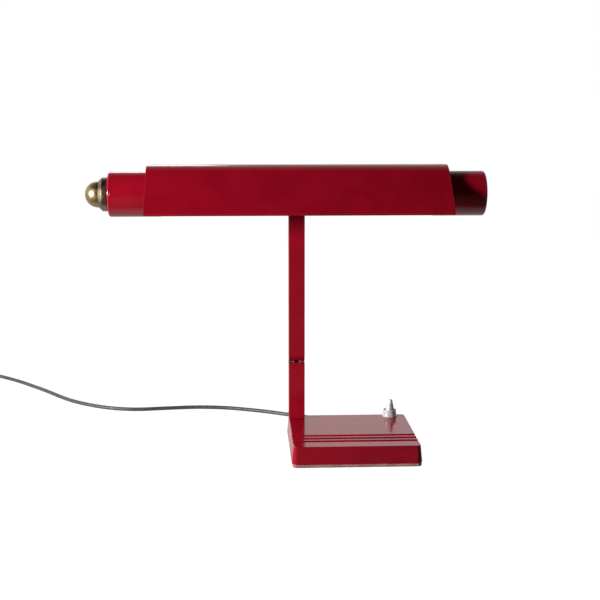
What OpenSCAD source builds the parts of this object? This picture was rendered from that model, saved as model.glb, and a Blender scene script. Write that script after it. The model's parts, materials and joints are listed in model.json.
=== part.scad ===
// Desk lamp: weighted square base, two-piece jointed square stem, tubular head with a folded shade.
// Origin: centre of the base's underside. X runs along the head, Y to the back, Z up. Millimetres.

/* [Base] */
// Width of the casting's top face
base_w = 150; // [130:1:190]
// Depth of the casting's top face
base_d = 150; // [130:1:190]
// Height of the casting
base_h = 21; // [19:0.5:30]
// Thickness of the felt pad
felt_t = 4; // [2:0.5:6]
// How far each side of the casting spreads towards its foot
base_draft = 2; // [0:0.5:4]
// Radius of the casting's upright corners
base_corner_r = 5; // [3:0.5:12]
// Thickness of the casting's walls round its pocket
base_wall = 3.5; // [3:0.25:6]
// Thickness of the casting above its pocket
base_roof = 6; // [4:0.5:8]
// Width of one pencil groove
groove_w = 7; // [5:0.5:9]
// Depth of one pencil groove
groove_depth = 2; // [1:0.25:3]
// Distance between pencil grooves
groove_pitch = 12.5; // [10:0.5:16]
// Plain land between the front edge and the first groove
groove_land = 20.5; // [12:0.5:28]

/* [Stem] */
// Side of the square stem
stem_w = 20; // [18:0.5:26]
// Wall of the stem tubes
stem_wall = 1.5; // [1:0.25:2]
// Top of the base to the knee hinge
lower_len = 83.5; // [75:0.5:120]
// Knee hinge to the head's axis
upper_len = 203; // [160:0.5:260]
// Bore for the hinge screws
hinge_bore_r = 2.55; // [2.05:0.05:3.05]
// Thickness of the hinge tongues
tongue_t = 7; // [5:0.5:8]
// Wall in front of the tongue, which hides it
knuckle_wall = 3; // [2:0.25:3.5]
// Thickness of one friction washer
washer_t = 0.5; // [0.3:0.1:0.8]

/* [Head] */
// Outside diameter of the head tube
head_d = 56; // [50:1:64]
// Wall of the head tube
head_wall = 1; // [0.8:0.1:2]
// Length of the head between its end faces
head_len = 468; // [430:2:560]
// Length of full round tube at each end
head_end_len = 64; // [55:1:75]
// How far the head's middle sits to the right of the stem
head_shift = 1.5; // [0:0.5:4]
// Glass diameter of the strip lamp
lamp_d = 26; // [20:1:30]
// Overall length of the strip lamp
lamp_len = 284; // [240:2:300]

/* [Shade] */
// Length of the shade
shade_len = 373; // [345:1:430]
// Gap between the head tube and the shade's bend
shade_gap = 7.5; // [6:0.5:14]
// Slope of each flank below the horizontal
flank_slope = 44; // [38:1:50]
// Length of each flank beyond the bend
flank_len = 64; // [50:1:75]
// Sheet thickness of the shade
sheet_t = 1; // [0.8:0.1:1.6]
// Radius of the rolled rim
rim_r = 2.4; // [1.6:0.2:3]
// How far the rolled rim stands proud of the sheet
rim_proud = 0.2; // [0.1:0.05:0.4]

/* [Knob and switch] */
// Diameter of the knob's dome
knob_d = 33; // [24:1:38]
// Diameter of the brass ring behind the knob
ring_d = 42.4; // [34:0.2:48]
// Thickness of the brass ring
ring_t = 11.5; // [6:0.5:14]
// Diameter of the switch collar at its foot
collar_d = 19; // [17:0.5:22]
// Height of the switch collar
collar_h = 10.4; // [9:0.2:12]
// Height of the lever above the collar
lever_h = 12; // [8:0.5:16]
// Lean of the lever at rest, towards the right
lever_lean = 5; // [4:1:12]

/* [Cord] */
// Cord diameter
cord_d = 5.2; // [5.2]

/* [Hidden] */

$fn = 64;
eps = 0.01;
hull_fn = 32;
red = [0.59, 0.03, 0.09];
white = [0.92, 0.91, 0.88];
brass = [0.71, 0.60, 0.36];
steel = [0.70, 0.71, 0.73];
dark_grey = [0.30, 0.30, 0.29];
black = [0.09, 0.09, 0.10];

running = 0.05;
free_gap = 0.3;
seat_gap = 0.1;

// Base heights and the pocket under its roof
base_top = felt_t + base_h;
pocket_top = base_top - base_roof;
plate_t = 1.5;
plate_top = felt_t + plate_t;
pocket_x0 = -base_w / 2 + base_wall;
pocket_x1 = base_w / 2 - base_wall;
pocket_y0 = 8;
pocket_y1 = base_d / 2 - base_wall;
plate_lip = 2;
screw_r_small = 1.5;
boss_r = 4.5;
boss_inset = boss_r + 1;
plate_screw_x = [pocket_x0 + boss_inset, pocket_x1 - boss_inset];
plate_screw_y = [pocket_y0 + boss_inset, base_d / 2 - 29];
groove_r = (pow(groove_w / 2, 2) + pow(groove_depth, 2)) / (2 * groove_depth);

// Stem and hinge places
stem_x = -base_w / 2 + stem_w / 2;
stem_y = base_d / 2 - stem_w / 2;
hinge_r = stem_w / 2;
knee_z = base_top + lower_len;
axis_z = knee_z + upper_len;
shoulder = hinge_r + free_gap;
fork_root = 4;
fork_h = shoulder + fork_root;
slot_w = tongue_t + 2 * washer_t + 2 * seat_gap;
tongue_r = hinge_r - free_gap;
knuckle_r = hinge_r - knuckle_wall;
tongue_front = 1;
wall_end = 52;
spigot_len = 12;
spigot_w = stem_w - 2 * stem_wall - seat_gap;
plug_plate = 2;
wire_r = 1.5;
wire_y = 6.6;
screw_r = hinge_bore_r - running;
screw_head_r = screw_r + 2;
screw_head_h = 2;
saddle_top_h = 4;
stud_r = 4;
nut_h = 3.5;
nut_r = 6.1;
washer_r = hinge_r - knuckle_wall - 0.5;
foot_seat_z = plate_top + 9;
foot_washer_t = 1.2;
foot_washer_r = 6.3;
foot_nut_z = foot_seat_z - foot_washer_t - nut_h;
slip_washer_t = 0.8;
slip_washer_r = 8.5;
foot_plug_z = base_top + slip_washer_t;
foot_plug_h = 3;
lower_tube_z0 = foot_plug_z + foot_plug_h;
lower_tube_z1 = knee_z - shoulder - plug_plate;
upper_tube_z0 = knee_z + fork_h;
twin_r = wire_r - 0.15;

// Head places
head_r = head_d / 2;
head_ri = head_r - head_wall;
head_x = stem_x + head_shift;
head_x0 = head_x - head_len / 2;
head_x1 = head_x + head_len / 2;
window_x0 = head_x0 + head_end_len;
window_x1 = head_x1 - head_end_len;
saddle_bottom = axis_z - head_r - saddle_top_h;
cap_rim = 4;
cap_round = 2.5;
cap_spigot = 8;
cap_t = 1.5;
knob_r = knob_d / 2;
knob_stud_r = 4;
knob_grip = 12;
holder_len = 14;
ferrule_len = 12;
ferrule_t = 0.4;
pip_r = 3;
pip_len = 3;
spring_len = 4;
lamp_x0 = head_x - lamp_len / 2;
lamp_x1 = head_x + lamp_len / 2;
ferrule_r = lamp_d / 2 + ferrule_t;
cup_r = ferrule_r + free_gap;
cup_wall = 2;
cup_depth = 8;
foot_w = 12;
holder_foot_x = 6;
// Where the cups' mouths are, and the screws that hang the holders from the tube
mouth_x0 = lamp_x0 + cup_depth - 1;
mouth_x1 = lamp_x1 - cup_depth + 1;
holder_screw_x = [mouth_x0 - holder_len + holder_foot_x, mouth_x1 + holder_len - holder_foot_x];
knob_stud_x0 = head_x0 - ring_t - knob_grip;
head_nut_z = axis_z - sqrt(pow(head_ri, 2) - pow(nut_r, 2));
lead_r = 1.1;
lead_path_r = head_ri - lead_r - 0.6;

// Shade places
shade_bend_r = head_r + shade_gap + sheet_t;
shade_x0 = head_x - shade_len / 2;
shade_x1 = head_x + shade_len / 2;
clip_w = 10;
clip_ri = head_r + running;
clip_t = 1.4;
clip_inset = 4;
clip_x = [shade_x0 + clip_inset, shade_x1 - clip_inset - clip_w];
clip_gap_half = 55;
rivet_r = 2;
rivet_head_r = 2.8;
rivet_head_h = 0.7;
bend_steps = 40;
rim_steps = 20;

// Switch places
switch_x = base_w / 2 - 20;
switch_y = stem_y;
bushing_r = 6;
bushing_bore_r = 4.6;
bushing_out = 1.3;
switch_nut_r = 7.6;
switch_nut_h = 2.4;
lever_z = base_top + collar_h - 4.4;
lever_ball_r = 6.2;
collar_bore_r = 6.9;
lever_tip_r = 2.7;
lever_pin_r = 0.9;
lever_stem_r = 1.8;
switch_w = 15;
switch_l = 24;
switch_bottom = plate_top + 0.9;
tag_l = 4;
tag_z = 8;

// Cord places
cord_r = cord_d / 2;
cord_x = -20;
cord_z = 12;
relief_tip_y = base_d / 2 + 26;
relief_out_r = 6;
relief_tip_r = 3.9;
relief_flange_r = 8;
relief_flange_t = 2.5;
relief_bore_r = cord_r + 0.2;
clamp_y = pocket_y1 - 16;
block_x = -42;
block_y = 30;
block_l = 26;
block_w = 14;
block_h = 11;
block_screw_y = [3.5, block_w - 3.5];

// Way of the cord over the table, from inside the relief to the coil, points chosen by hand
cord_route = [[-20, 78, 12], [-20, 90, 12], [-20, 101, 11.9], [-20.5, 111, 10.4], [-23, 121, 7.2],
    [-27.5, 131, 4.2], [-34.5, 141, 2.8], [-44, 150, 2.7], [-57, 159, 2.7], [-73, 168, 2.7],
    [-99, 184, 2.7], [-126, 197.5, 2.7], [-152, 208, 2.7], [-179, 214, 2.7], [-206, 215.5, 2.7],
    [-246, 211, 2.7], [-281, 207, 2.7], [-313, 214, 2.7], [-342, 230, 2.7], [-372, 255, 2.7],
    [-395, 282, 2.7], [-428, 329, 2.7], [-451, 359, 2.7], [-472, 386, 2.7], [-495, 412, 2.7],
    [-516, 433, 2.8], [-535, 452, 3.1], [-555, 472.5, 3.8]];
coil_mid_r = 31;
coil_centre = [-583, 449.5];
coil_rows = 2;
coil_columns = 3;
coil_h = coil_rows * cord_d + 0.4;
coil_z = 1;
coil_ro = coil_mid_r + coil_columns * cord_r + 0.3;
coil_ri = coil_mid_r - coil_columns * cord_r - 0.3;
// Way of the cord's last stretch, from the coil to the plug
end_route = [[-618, 459, 9], [-620, 447, 8.9], [-621.5, 436, 8.4], [-622, 424, 7.4], [-622, 412, 6.7],
    [-622, 400, 6.5], [-622, 388, 6.5]];
tie_angle = 260;
tie_t = 0.9;
plug_w = 35;
plug_t = 13;
plug_l = 34;
plug_pin_r = 2;
plug_pin_l = 19;
plug_pin_pitch = 18.6;
plug_at = [-622, 388, 6.5];

module rod_x(r, x0, x1, y, z) translate([x0, y, z]) rotate([0, 90, 0]) cylinder(r = r, h = x1 - x0);
module block(low, high) translate(low) cube(high - low);
module head_rod(r, x0, x1) rod_x(r, x0, x1, stem_y, axis_z);

// Points between a and b on the smooth curve that also looks at their neighbours p and q
function curve_point(p, a, b, q, t) = 0.5 * (2 * a + (b - p) * t + (2 * p - 5 * a + 4 * b - q) * t * t
    + (3 * a - p - 3 * b + q) * t * t * t);
function smooth(pts, n) = let (last = len(pts) - 1) concat(
    [for (i = [0 : last - 1]) for (k = [0 : n - 1])
        curve_point(i > 0 ? pts[i - 1] : 2 * pts[0] - pts[1], pts[i], pts[i + 1],
            i < last - 1 ? pts[i + 2] : 2 * pts[last] - pts[last - 1], k / n)],
    [pts[last]]);
function unit(v) = v / norm(v);
function heading(pts, i) = unit(pts[min(i + 1, len(pts) - 1)] - pts[max(i - 1, 0)]);

// A tube swept along points: each ring stands square to the way, with up as its second direction
module sweep(pts, r, sides, up) {
    count = len(pts);
    points = [for (i = [0 : count - 1]) let (t = heading(pts, i), s = unit(cross(t, up)), u = cross(s, t))
        for (k = [0 : sides - 1]) pts[i] + r * (cos(360 * k / sides) * s + sin(360 * k / sides) * u)];
    walls = [for (i = [0 : count - 2]) for (k = [0 : sides - 1]) let (n = (k + 1) % sides)
        [i * sides + k, i * sides + n, (i + 1) * sides + n, (i + 1) * sides + k]];
    ends = [[for (k = [sides - 1 : -1 : 0]) k], [for (k = [0 : sides - 1]) (count - 1) * sides + k]];
    polyhedron(points, concat(walls, ends), convexity = 6);
}

// ---- base ----

module drafted_slab(w, d, h, spread, r) {
    hull() for (sx = [-1, 1]) for (sy = [-1, 1])
        translate([sx * (w / 2 - r), sy * (d / 2 - r), 0])
            cylinder(r1 = r + spread, r2 = r, h = h, $fn = hull_fn);
}

module at_plate_screws(z) for (x = plate_screw_x) for (y = plate_screw_y) translate([x, y, z]) children();

module base_casting() color(red) difference() {
    translate([0, 0, felt_t]) drafted_slab(base_w, base_d, base_h, base_draft, base_corner_r);
    difference() {
        block([pocket_x0, pocket_y0, felt_t - 1], [pocket_x1, pocket_y1, pocket_top]);
        at_plate_screws(plate_top) cylinder(r = boss_r, h = base_h);
        block([stem_x - 14, stem_y - 15, foot_seat_z], [stem_x + 14, stem_y + 15, base_top]);
    }
    block([pocket_x0 - plate_lip, pocket_y0 - plate_lip, felt_t - 1],
        [pocket_x1 + plate_lip, pocket_y1 + plate_lip, plate_top]);
    at_plate_screws(plate_top - 1) cylinder(r = screw_r_small, h = 10);
    for (i = [0 : 2])
        rod_x(groove_r, -base_w, base_w, -base_d / 2 + groove_land + groove_w / 2 + i * groove_pitch,
            base_top + groove_r - groove_depth);
    translate([switch_x, switch_y, 0]) cylinder(r = bushing_r + seat_gap, h = base_top + 1);
    at_stem(0) cylinder(r = stud_r + running, h = base_top + 1);
    translate([cord_x, pocket_y1 - 1, cord_z]) rotate([-90, 0, 0])
        cylinder(r = relief_out_r + seat_gap, h = base_d);
}

module base_plate() color(steel) difference() {
    block([pocket_x0 - plate_lip + free_gap, pocket_y0 - plate_lip + free_gap, felt_t],
        [pocket_x1 + plate_lip - free_gap, pocket_y1 + plate_lip - free_gap, plate_top]);
    at_plate_screws(felt_t - 1) {
        cylinder(r = screw_r_small + seat_gap, h = 4);
        cylinder(r1 = screw_r_small + 2.6, r2 = screw_r_small + seat_gap, h = 2.5);
    }
}

module base_plate_screws() color(steel)
    at_plate_screws(felt_t) difference() {
        union() {
            cylinder(r = screw_r_small - 0.02, h = 9);
            cylinder(r1 = screw_r_small + 1.5, r2 = screw_r_small - 0.02, h = 1.5);
        }
        translate([-3.5, -0.4, -eps]) cube([7, 0.8, 0.7]);
    }

module base_felt() color([0.67, 0.45, 0.41]) {
    linear_extrude(felt_t) {
        square([base_w + 2 * base_draft - 2 * base_corner_r - 1, base_d + 2 * base_draft - 1], center = true);
        square([base_w + 2 * base_draft - 1, base_d + 2 * base_draft - 2 * base_corner_r - 1], center = true);
        for (sx = [-1, 1]) for (sy = [-1, 1])
            translate([sx * (base_w / 2 + base_draft - base_corner_r - 0.5),
                sy * (base_d / 2 + base_draft - base_corner_r - 0.5)]) circle(r = base_corner_r);
    }
}

module cord_relief() color(black) translate([cord_x, 0, cord_z]) rotate([-90, 0, 0]) difference() {
    union() {
        translate([0, 0, pocket_y1 - relief_flange_t])
            cylinder(r = relief_flange_r - 1.5, h = relief_flange_t);
        translate([0, 0, pocket_y1]) cylinder(r = relief_out_r, h = base_d / 2 + 3 - pocket_y1);
        translate([0, 0, base_d / 2 + 3]) cylinder(r = relief_flange_r, h = 2);
        translate([0, 0, base_d / 2 + 5])
            cylinder(r1 = relief_out_r, r2 = relief_tip_r, h = relief_tip_y - base_d / 2 - 5);
    }
    translate([0, 0, pocket_y1 - 5]) cylinder(r = relief_bore_r, h = base_d);
    for (i = [0 : 3]) translate([0, 0, base_d / 2 + 9 + i * 4]) difference() {
        cylinder(r = relief_out_r + 1, h = 1.4);
        cylinder(r = cord_r + 0.9, h = 1.4);
    }
}

module cord_clamp() color(black) difference() {
    block([cord_x - 12, clamp_y, plate_top + 0.6], [cord_x + 12, clamp_y + 7, pocket_top]);
    translate([cord_x, clamp_y - 1, cord_z]) rotate([-90, 0, 0]) cylinder(r = relief_bore_r, h = 9);
    block([cord_x - 13, clamp_y - 1, cord_z - 0.4], [cord_x + 13, clamp_y + 8, cord_z + 0.4]);
    for (s = [-1, 1]) translate([cord_x + s * 8, clamp_y + 3.5, plate_top])
        cylinder(r = screw_r_small + seat_gap, h = 20);
}

module cord_clamp_screws() color(steel) for (s = [-1, 1])
    translate([cord_x + s * 8, clamp_y + 3.5, plate_top + 0.2]) {
        cylinder(r = screw_r_small, h = pocket_top - plate_top - 0.2);
        cylinder(r = 2.6, h = 0.4);
    }

module terminal_block() color(white) difference() {
    block([block_x, block_y, pocket_top - block_h], [block_x + block_l, block_y + block_w, pocket_top]);
    for (i = [0 : 2]) {
        translate([block_x + 4.5 + i * 8.5, block_y - 1, pocket_top - block_h / 2]) rotate([-90, 0, 0])
            cylinder(r = 2, h = block_w + 2);
        for (y = block_screw_y) translate([block_x + 4.5 + i * 8.5, block_y + y, pocket_top - block_h - 1])
            cylinder(r = 1.5, h = block_h / 2 + 1);
    }
}

module terminal_screws() color(brass) for (i = [0 : 2]) for (y = block_screw_y)
    translate([block_x + 4.5 + i * 8.5, block_y + y, pocket_top - block_h - 0.6])
        cylinder(r = 1.4, h = block_h / 2 - 0.5);

module base_leads() color(black) {
    lead_z = pocket_top - block_h / 2;
    sheath_y = clamp_y - 6;
    tag_y = switch_y - switch_l / 2 - tag_l - 2 * free_gap;
    translate([cord_x, sheath_y, cord_z]) rotate([-90, 0, 0])
        cylinder(r = cord_r, h = cord_route[0][1] - sheath_y);
    for (s = [-1, 1]) sweep(smooth([[cord_x + s * 1.2, sheath_y, cord_z],
        [cord_x + s * 1.5 - 1, sheath_y - 2, cord_z],
        [block_x + 17.25 + s * 4.25, block_y + block_w + 2, lead_z],
        [block_x + 17.25 + s * 4.25, block_y + block_w - 2, lead_z]], 3), lead_r, 8, [0, 0, 1]);
    sweep(smooth([[block_x + 21.5, block_y + 2, lead_z], [block_x + 22, block_y - 4, lead_z],
        [0, block_y - 14, lead_z], [30, block_y - 12, lead_z], [switch_x - 4, tag_y - 7, tag_z + 1],
        [switch_x - 4, tag_y, tag_z]], 3), lead_r, 8, [0, 0, 1]);
    sweep(smooth([[switch_x + 4, tag_y, tag_z], [switch_x + 2, tag_y - 8, tag_z + 1],
        [28, block_y - 17, lead_z], [0, block_y - 19, lead_z], [-30, block_y - 18, lead_z],
        [block_x + 3, block_y - 6, lead_z],
        [block_x + 4.5, block_y + 2, lead_z]], 3), lead_r, 8, [0, 0, 1]);
    sweep(smooth([[block_x + 4.5, block_y + block_w - 2, lead_z],
        [block_x + 4, block_y + block_w + 4, lead_z - 1],
        [stem_x + 15, stem_y - 8, 8.4], [stem_x + 6, stem_y - 2.5, 7], [stem_x + 1, stem_y - 0.3, 7.6],
        [stem_x, stem_y, foot_nut_z], [stem_x, stem_y, base_top - 2]], 3), lead_r, 8, unit([0.3, 1, 0.2]));
}

// ---- switch ----

module switch_body() color([0.16, 0.15, 0.14]) translate([switch_x, switch_y, 0]) difference() {
    union() {
        block([-switch_w / 2, -switch_l / 2, switch_bottom], [switch_w / 2, switch_l / 2 - 7, pocket_top]);
        translate([0, 0, pocket_top - 5])
            cylinder(r = bushing_r, h = base_top + bushing_out - pocket_top + 5);
    }
    translate([0, 0, pocket_top - 5]) cylinder(r = bushing_bore_r, h = 20);
}

module switch_tags() color(brass) for (s = [-1, 1])
    translate([switch_x + s * 4, switch_y - switch_l / 2, tag_z]) block([-1.5, -tag_l, -0.4], [1.5, 0, 0.4]);

module switch_nut() color(steel) translate([switch_x, switch_y, base_top]) difference() {
    cylinder(r = switch_nut_r, h = switch_nut_h, $fn = 6);
    translate([0, 0, -1]) cylinder(r = bushing_r + seat_gap, h = 5);
}

// The pin lies in the collar's wall and runs through the lever's ball
module lever_pin() color(steel) translate([switch_x, switch_y, lever_z]) rotate([90, 0, 0])
    cylinder(r = lever_pin_r, h = 2 * (collar_bore_r + 1), center = true);

module switch_collar() color(white) translate([switch_x, switch_y, base_top]) difference() {
    skirt = 1.2;
    lip_r = 0.7;
    waist = [collar_d / 2 - 0.9, collar_h * 0.55];
    top_r = collar_bore_r + 2 * lip_r;
    rotate_extrude() difference() {
        union() {
            square([collar_d / 2, skirt]);
            polygon([[0, 0], [collar_d / 2, 0], [collar_d / 2, skirt], waist,
                [top_r, collar_h - lip_r], [0, collar_h - lip_r]]);
            translate([top_r - lip_r, collar_h - lip_r]) circle(r = lip_r);
        }
        translate([-collar_d, -1]) square([collar_d + switch_nut_r + seat_gap, 1 + switch_nut_h + seat_gap]);
        translate([-collar_d, -1]) square([collar_d + bushing_r + seat_gap, 5]);
        translate([-collar_d, switch_nut_h + 1.2]) square([collar_d + collar_bore_r, collar_h]);
        translate([-collar_d, -collar_d]) square([3 * collar_d, collar_d]);
    }
    translate([0, 0, lever_z - base_top]) rotate([90, 0, 0])
        cylinder(r = lever_pin_r, h = 2 * (collar_bore_r + 1), center = true);
}

module switch_lever() color(white) translate([switch_x, switch_y, lever_z]) rotate([0, lever_lean, 0])
    difference() {
        cone_h = base_top + collar_h - lever_z + lever_h - lever_tip_r;
        union() {
            sphere(r = lever_ball_r);
            cylinder(r1 = lever_ball_r, r2 = lever_tip_r, h = cone_h);
            translate([0, 0, cone_h]) sphere(r = lever_tip_r);
            translate([0, 0, -(lever_z - pocket_top + 2)]) cylinder(r = lever_stem_r, h = 9);
        }
        rotate([90, 0, 0]) cylinder(r = lever_pin_r + running, h = collar_d, center = true);
    }

// ---- hinges ----

// Tongue on a seat at z = -shoulder: a disc about the pivot and a root that leaves the front free
module tongue() difference() {
    union() {
        rod_x(knuckle_r - free_gap, -tongue_t / 2, tongue_t / 2, 0, 0);
        block([-tongue_t / 2, -tongue_front, -shoulder], [tongue_t / 2, tongue_r, 0]);
    }
    rod_x(hinge_bore_r, -tongue_t, tongue_t, 0, 0);
    block([-wire_r, wire_y - wire_r, -shoulder - 1], [wire_r, stem_w, stem_w]);
}

// What the tongue needs inside the fork: open at the back and below, closed in front down to wall_end
module fork_slot() {
    block([-slot_w / 2, 0, -stem_w], [slot_w / 2, stem_w, shoulder]);
    rod_x(knuckle_r, -slot_w / 2, slot_w / 2, 0, 0);
    translate([-slot_w / 2, 0, 0]) rotate([90, 0, 90]) linear_extrude(slot_w)
        polygon([[0, 0], [-stem_w * cos(wall_end), -stem_w * sin(wall_end)], [0, -2 * stem_w]]);
}

// Fork with a round end about the pivot, its root above, and a spigot for the tube
module fork() difference() {
    union() {
        rod_x(hinge_r, -stem_w / 2, stem_w / 2, 0, 0);
        block([-stem_w / 2, -stem_w / 2, 0], [stem_w / 2, stem_w / 2, fork_h]);
        block([-spigot_w / 2, -spigot_w / 2, 0], [spigot_w / 2, spigot_w / 2, fork_h + spigot_len]);
    }
    fork_slot();
    rod_x(screw_r, -stem_w, stem_w, 0, 0);
    translate([-stem_w / 2 - eps, 0, 0]) rotate([0, 90, 0])
        cylinder(r1 = screw_head_r + seat_gap, r2 = screw_r, h = screw_head_h + seat_gap);
    translate([0, wire_y, 0]) cylinder(r = wire_r, h = fork_h + spigot_len + 1);
}

module hinge_screw() difference() {
    union() {
        rod_x(screw_r, -stem_w / 2 + eps, stem_w / 2, 0, 0);
        translate([-stem_w / 2, 0, 0]) rotate([0, 90, 0])
            cylinder(r1 = screw_head_r, r2 = screw_r, h = screw_head_h);
    }
    block([-stem_w / 2 - 1, -0.5, -screw_head_r - 1], [-stem_w / 2 + 1, 0.5, screw_head_r + 1]);
}

module friction_washers() for (s = [-1, 1]) translate([s * (slot_w / 2 - washer_t / 2), 0, 0])
    rotate([0, 90, 0]) difference() {
        cylinder(r = washer_r, h = washer_t, center = true);
        cylinder(r = screw_r + 0.02, h = 2, center = true);
    }

module at_knee() translate([stem_x, stem_y, knee_z]) children();
module at_stem(z) translate([stem_x, stem_y, z]) children();

// Hollow stud that the stem turns on; the leads rise through it
module foot_stud() color(steel) at_stem(foot_nut_z)
    ring_washer(stud_r, wire_r, lower_tube_z0 + 4 - foot_nut_z);

// Block that closes the lower tube's foot, with a spigot inside the tube
module foot_plug() color(red) difference() {
    union() {
        at_stem(foot_plug_z) block([-stem_w / 2, -stem_w / 2, 0], [stem_w / 2, stem_w / 2, foot_plug_h]);
        at_stem(foot_plug_z) block([-spigot_w / 2, -spigot_w / 2, 0],
            [spigot_w / 2, spigot_w / 2, foot_plug_h + spigot_len]);
    }
    at_stem(foot_plug_z - 1) cylinder(r = stud_r, h = foot_plug_h + 5);
    at_stem(foot_plug_z) cylinder(r = stud_r - 1, h = stem_w * 2);
}

module foot_slip_washer() color(brass) at_stem(base_top)
    ring_washer(slip_washer_r, stud_r + seat_gap, slip_washer_t);

module ring_washer(r, ri, h) difference() {
    cylinder(r = r, h = h);
    translate([0, 0, -1]) cylinder(r = ri, h = h + 2);
}

module hex_nut(h) difference() {
    cylinder(r = nut_r, h = h, $fn = 6);
    translate([0, 0, -1]) cylinder(r = stud_r, h = h + 2);
}

module foot_washer() color(steel) at_stem(foot_seat_z - foot_washer_t)
    ring_washer(foot_washer_r, stud_r + seat_gap, foot_washer_t);

module foot_nut() color(steel) at_stem(foot_nut_z) hex_nut(nut_h);

module knee_fork() color(red) at_knee() fork();
module knee_screw() color(steel) at_knee() hinge_screw();
module knee_friction_washers() color(brass) at_knee() friction_washers();

module square_tube(z0, z1) translate([stem_x, stem_y, z0]) linear_extrude(z1 - z0) difference() {
    square(stem_w, center = true);
    square(stem_w - 2 * stem_wall, center = true);
}

module lower_tube() color(red) square_tube(lower_tube_z0, lower_tube_z1);
module upper_tube() color(red) square_tube(upper_tube_z0, saddle_bottom);

module knee_tongue() color(red) at_knee() difference() {
    union() {
        tongue();
        block([-stem_w / 2, -stem_w / 2, -shoulder - plug_plate], [stem_w / 2, stem_w / 2, -shoulder]);
        block([-spigot_w / 2, -spigot_w / 2, -shoulder - plug_plate - spigot_len],
            [spigot_w / 2, spigot_w / 2, -shoulder - plug_plate + eps]);
    }
    translate([0, wire_y, -stem_w * 2]) cylinder(r = wire_r, h = stem_w * 2 - shoulder + 1);
}

// Twin lead inside each stem tube; it crosses the knee in the notch behind the tongue
module lower_lead() color(black) sweep(smooth([for (p = [[0, base_top], [0, lower_tube_z0 + 8],
    [wire_y * 0.25, lower_tube_z0 + 16], [wire_y * 0.8, lower_tube_z0 + 32], [wire_y, lower_tube_z0 + 42],
    [wire_y, knee_z - 2 * shoulder], [wire_y, knee_z - shoulder - 0.5]])
    [stem_x, stem_y + p[0], p[1]]], 2), twin_r, 8, [1, 0, 0]);

module upper_lead() color(black) {
    top = saddle_bottom - spigot_len;
    sweep(smooth([for (p = [[wire_y, knee_z + shoulder + 0.5], [wire_y, knee_z + 2 * shoulder],
        [wire_y, (knee_z + top) / 2], [wire_y, top - 50], [wire_y * 0.8, top - 38],
        [wire_y * 0.2, top - 18], [0, top - 6],
        [0, top + spigot_len]])
        [stem_x, stem_y + p[0], p[1]]], 2), twin_r, 8, [1, 0, 0]);
}

// ---- head ----

module head_saddle() color(red) difference() {
    union() {
        block([stem_x - stem_w / 2, stem_y - stem_w / 2, saddle_bottom],
            [stem_x + stem_w / 2, stem_y + stem_w / 2, axis_z - head_r + 3]);
        block([stem_x - spigot_w / 2, stem_y - spigot_w / 2, saddle_bottom - spigot_len],
            [stem_x + spigot_w / 2, stem_y + spigot_w / 2, saddle_bottom + 1]);
        translate([stem_x, stem_y, saddle_bottom])
            cylinder(r = stud_r, h = axis_z - lamp_d / 2 - 5 - saddle_bottom);
    }
    difference() {
        head_rod(head_r, head_x0, head_x1);
        translate([stem_x, stem_y, saddle_bottom]) cylinder(r = stud_r, h = head_r);
    }
    translate([stem_x, stem_y, saddle_bottom - spigot_len - 1]) cylinder(r = wire_r, h = head_r + spigot_len);
}

module head_nut() color(steel) translate([stem_x, stem_y, head_nut_z]) hex_nut(nut_h);

module head_tube() color(red) difference() {
    head_rod(head_r, head_x0 + cap_rim, head_x1 - cap_rim);
    head_rod(head_ri, head_x0 - 1, head_x1 + 1);
    for (x = [[window_x0, stem_x - stem_w / 2], [stem_x + stem_w / 2, window_x1]])
        block([x[0], stem_y - head_r - 1, axis_z - head_r - 1], [x[1], stem_y + head_r + 1, axis_z]);
    translate([stem_x, stem_y, axis_z - head_r - 1]) cylinder(r = stud_r + seat_gap, h = head_r / 2);
    for (x = holder_screw_x) translate([x, stem_y, axis_z])
        cylinder(r = screw_r_small + seat_gap, h = head_r + 1);
}

// End cap: a rounded rim over the tube's end with a spigot inside it; bore_r of 0 leaves it whole
module end_cap(bore_r) difference() {
    rotate_extrude() {
        square([head_r - cap_round, cap_rim]);
        square([head_ri - seat_gap, cap_t]);
        translate([0, cap_round]) square([head_r, cap_rim - cap_round]);
        translate([head_r - cap_round, cap_round]) intersection() {
            circle(r = cap_round);
            translate([0, -cap_round]) square(cap_round);
        }
        translate([0, cap_rim - eps]) square([head_ri - seat_gap, cap_spigot]);
    }
    translate([0, 0, cap_t]) cylinder(r = head_ri - 2, h = cap_rim + cap_spigot);
    if (bore_r > 0) translate([0, 0, -1]) cylinder(r = bore_r, h = 10);
}

module left_cap() color(red) translate([head_x0, stem_y, axis_z]) rotate([0, 90, 0])
    end_cap(knob_stud_r + seat_gap);
module right_cap() color(red) translate([head_x1, stem_y, axis_z]) rotate([0, -90, 0])
    end_cap(0);

module knob_stud() color(brass) {
    head_rod(knob_stud_r - running, knob_stud_x0, head_x0 + 8);
    translate([head_x0 + cap_t, stem_y, axis_z]) rotate([0, 90, 0]) cylinder(r = 7.5, h = 4, $fn = 6);
}

module knob_ring() color(brass) translate([head_x0, stem_y, axis_z]) rotate([0, -90, 0]) {
    chamfer = 4;
    step = 1.2;
    difference() {
        union() {
            cylinder(r = ring_d / 2 - step, h = step);
            translate([0, 0, step]) cylinder(r = ring_d / 2, h = ring_t - chamfer - step);
            translate([0, 0, ring_t - chamfer]) cylinder(r1 = ring_d / 2, r2 = knob_r + 1, h = chamfer);
        }
        translate([0, 0, -1]) cylinder(r = knob_stud_r + seat_gap, h = ring_t + 2);
    }
}

module knob_dome() color(brass) translate([head_x0 - ring_t - seat_gap, stem_y, axis_z]) rotate([0, -90, 0])
    difference() {
        straight = 1;
        union() {
            cylinder(r = knob_r, h = straight);
            translate([0, 0, straight]) intersection() {
                sphere(r = knob_r);
                cylinder(r = knob_r + 1, h = knob_r);
            }
        }
        translate([0, 0, -1]) cylinder(r = knob_stud_r, h = knob_grip + 1.5);
    }

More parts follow.
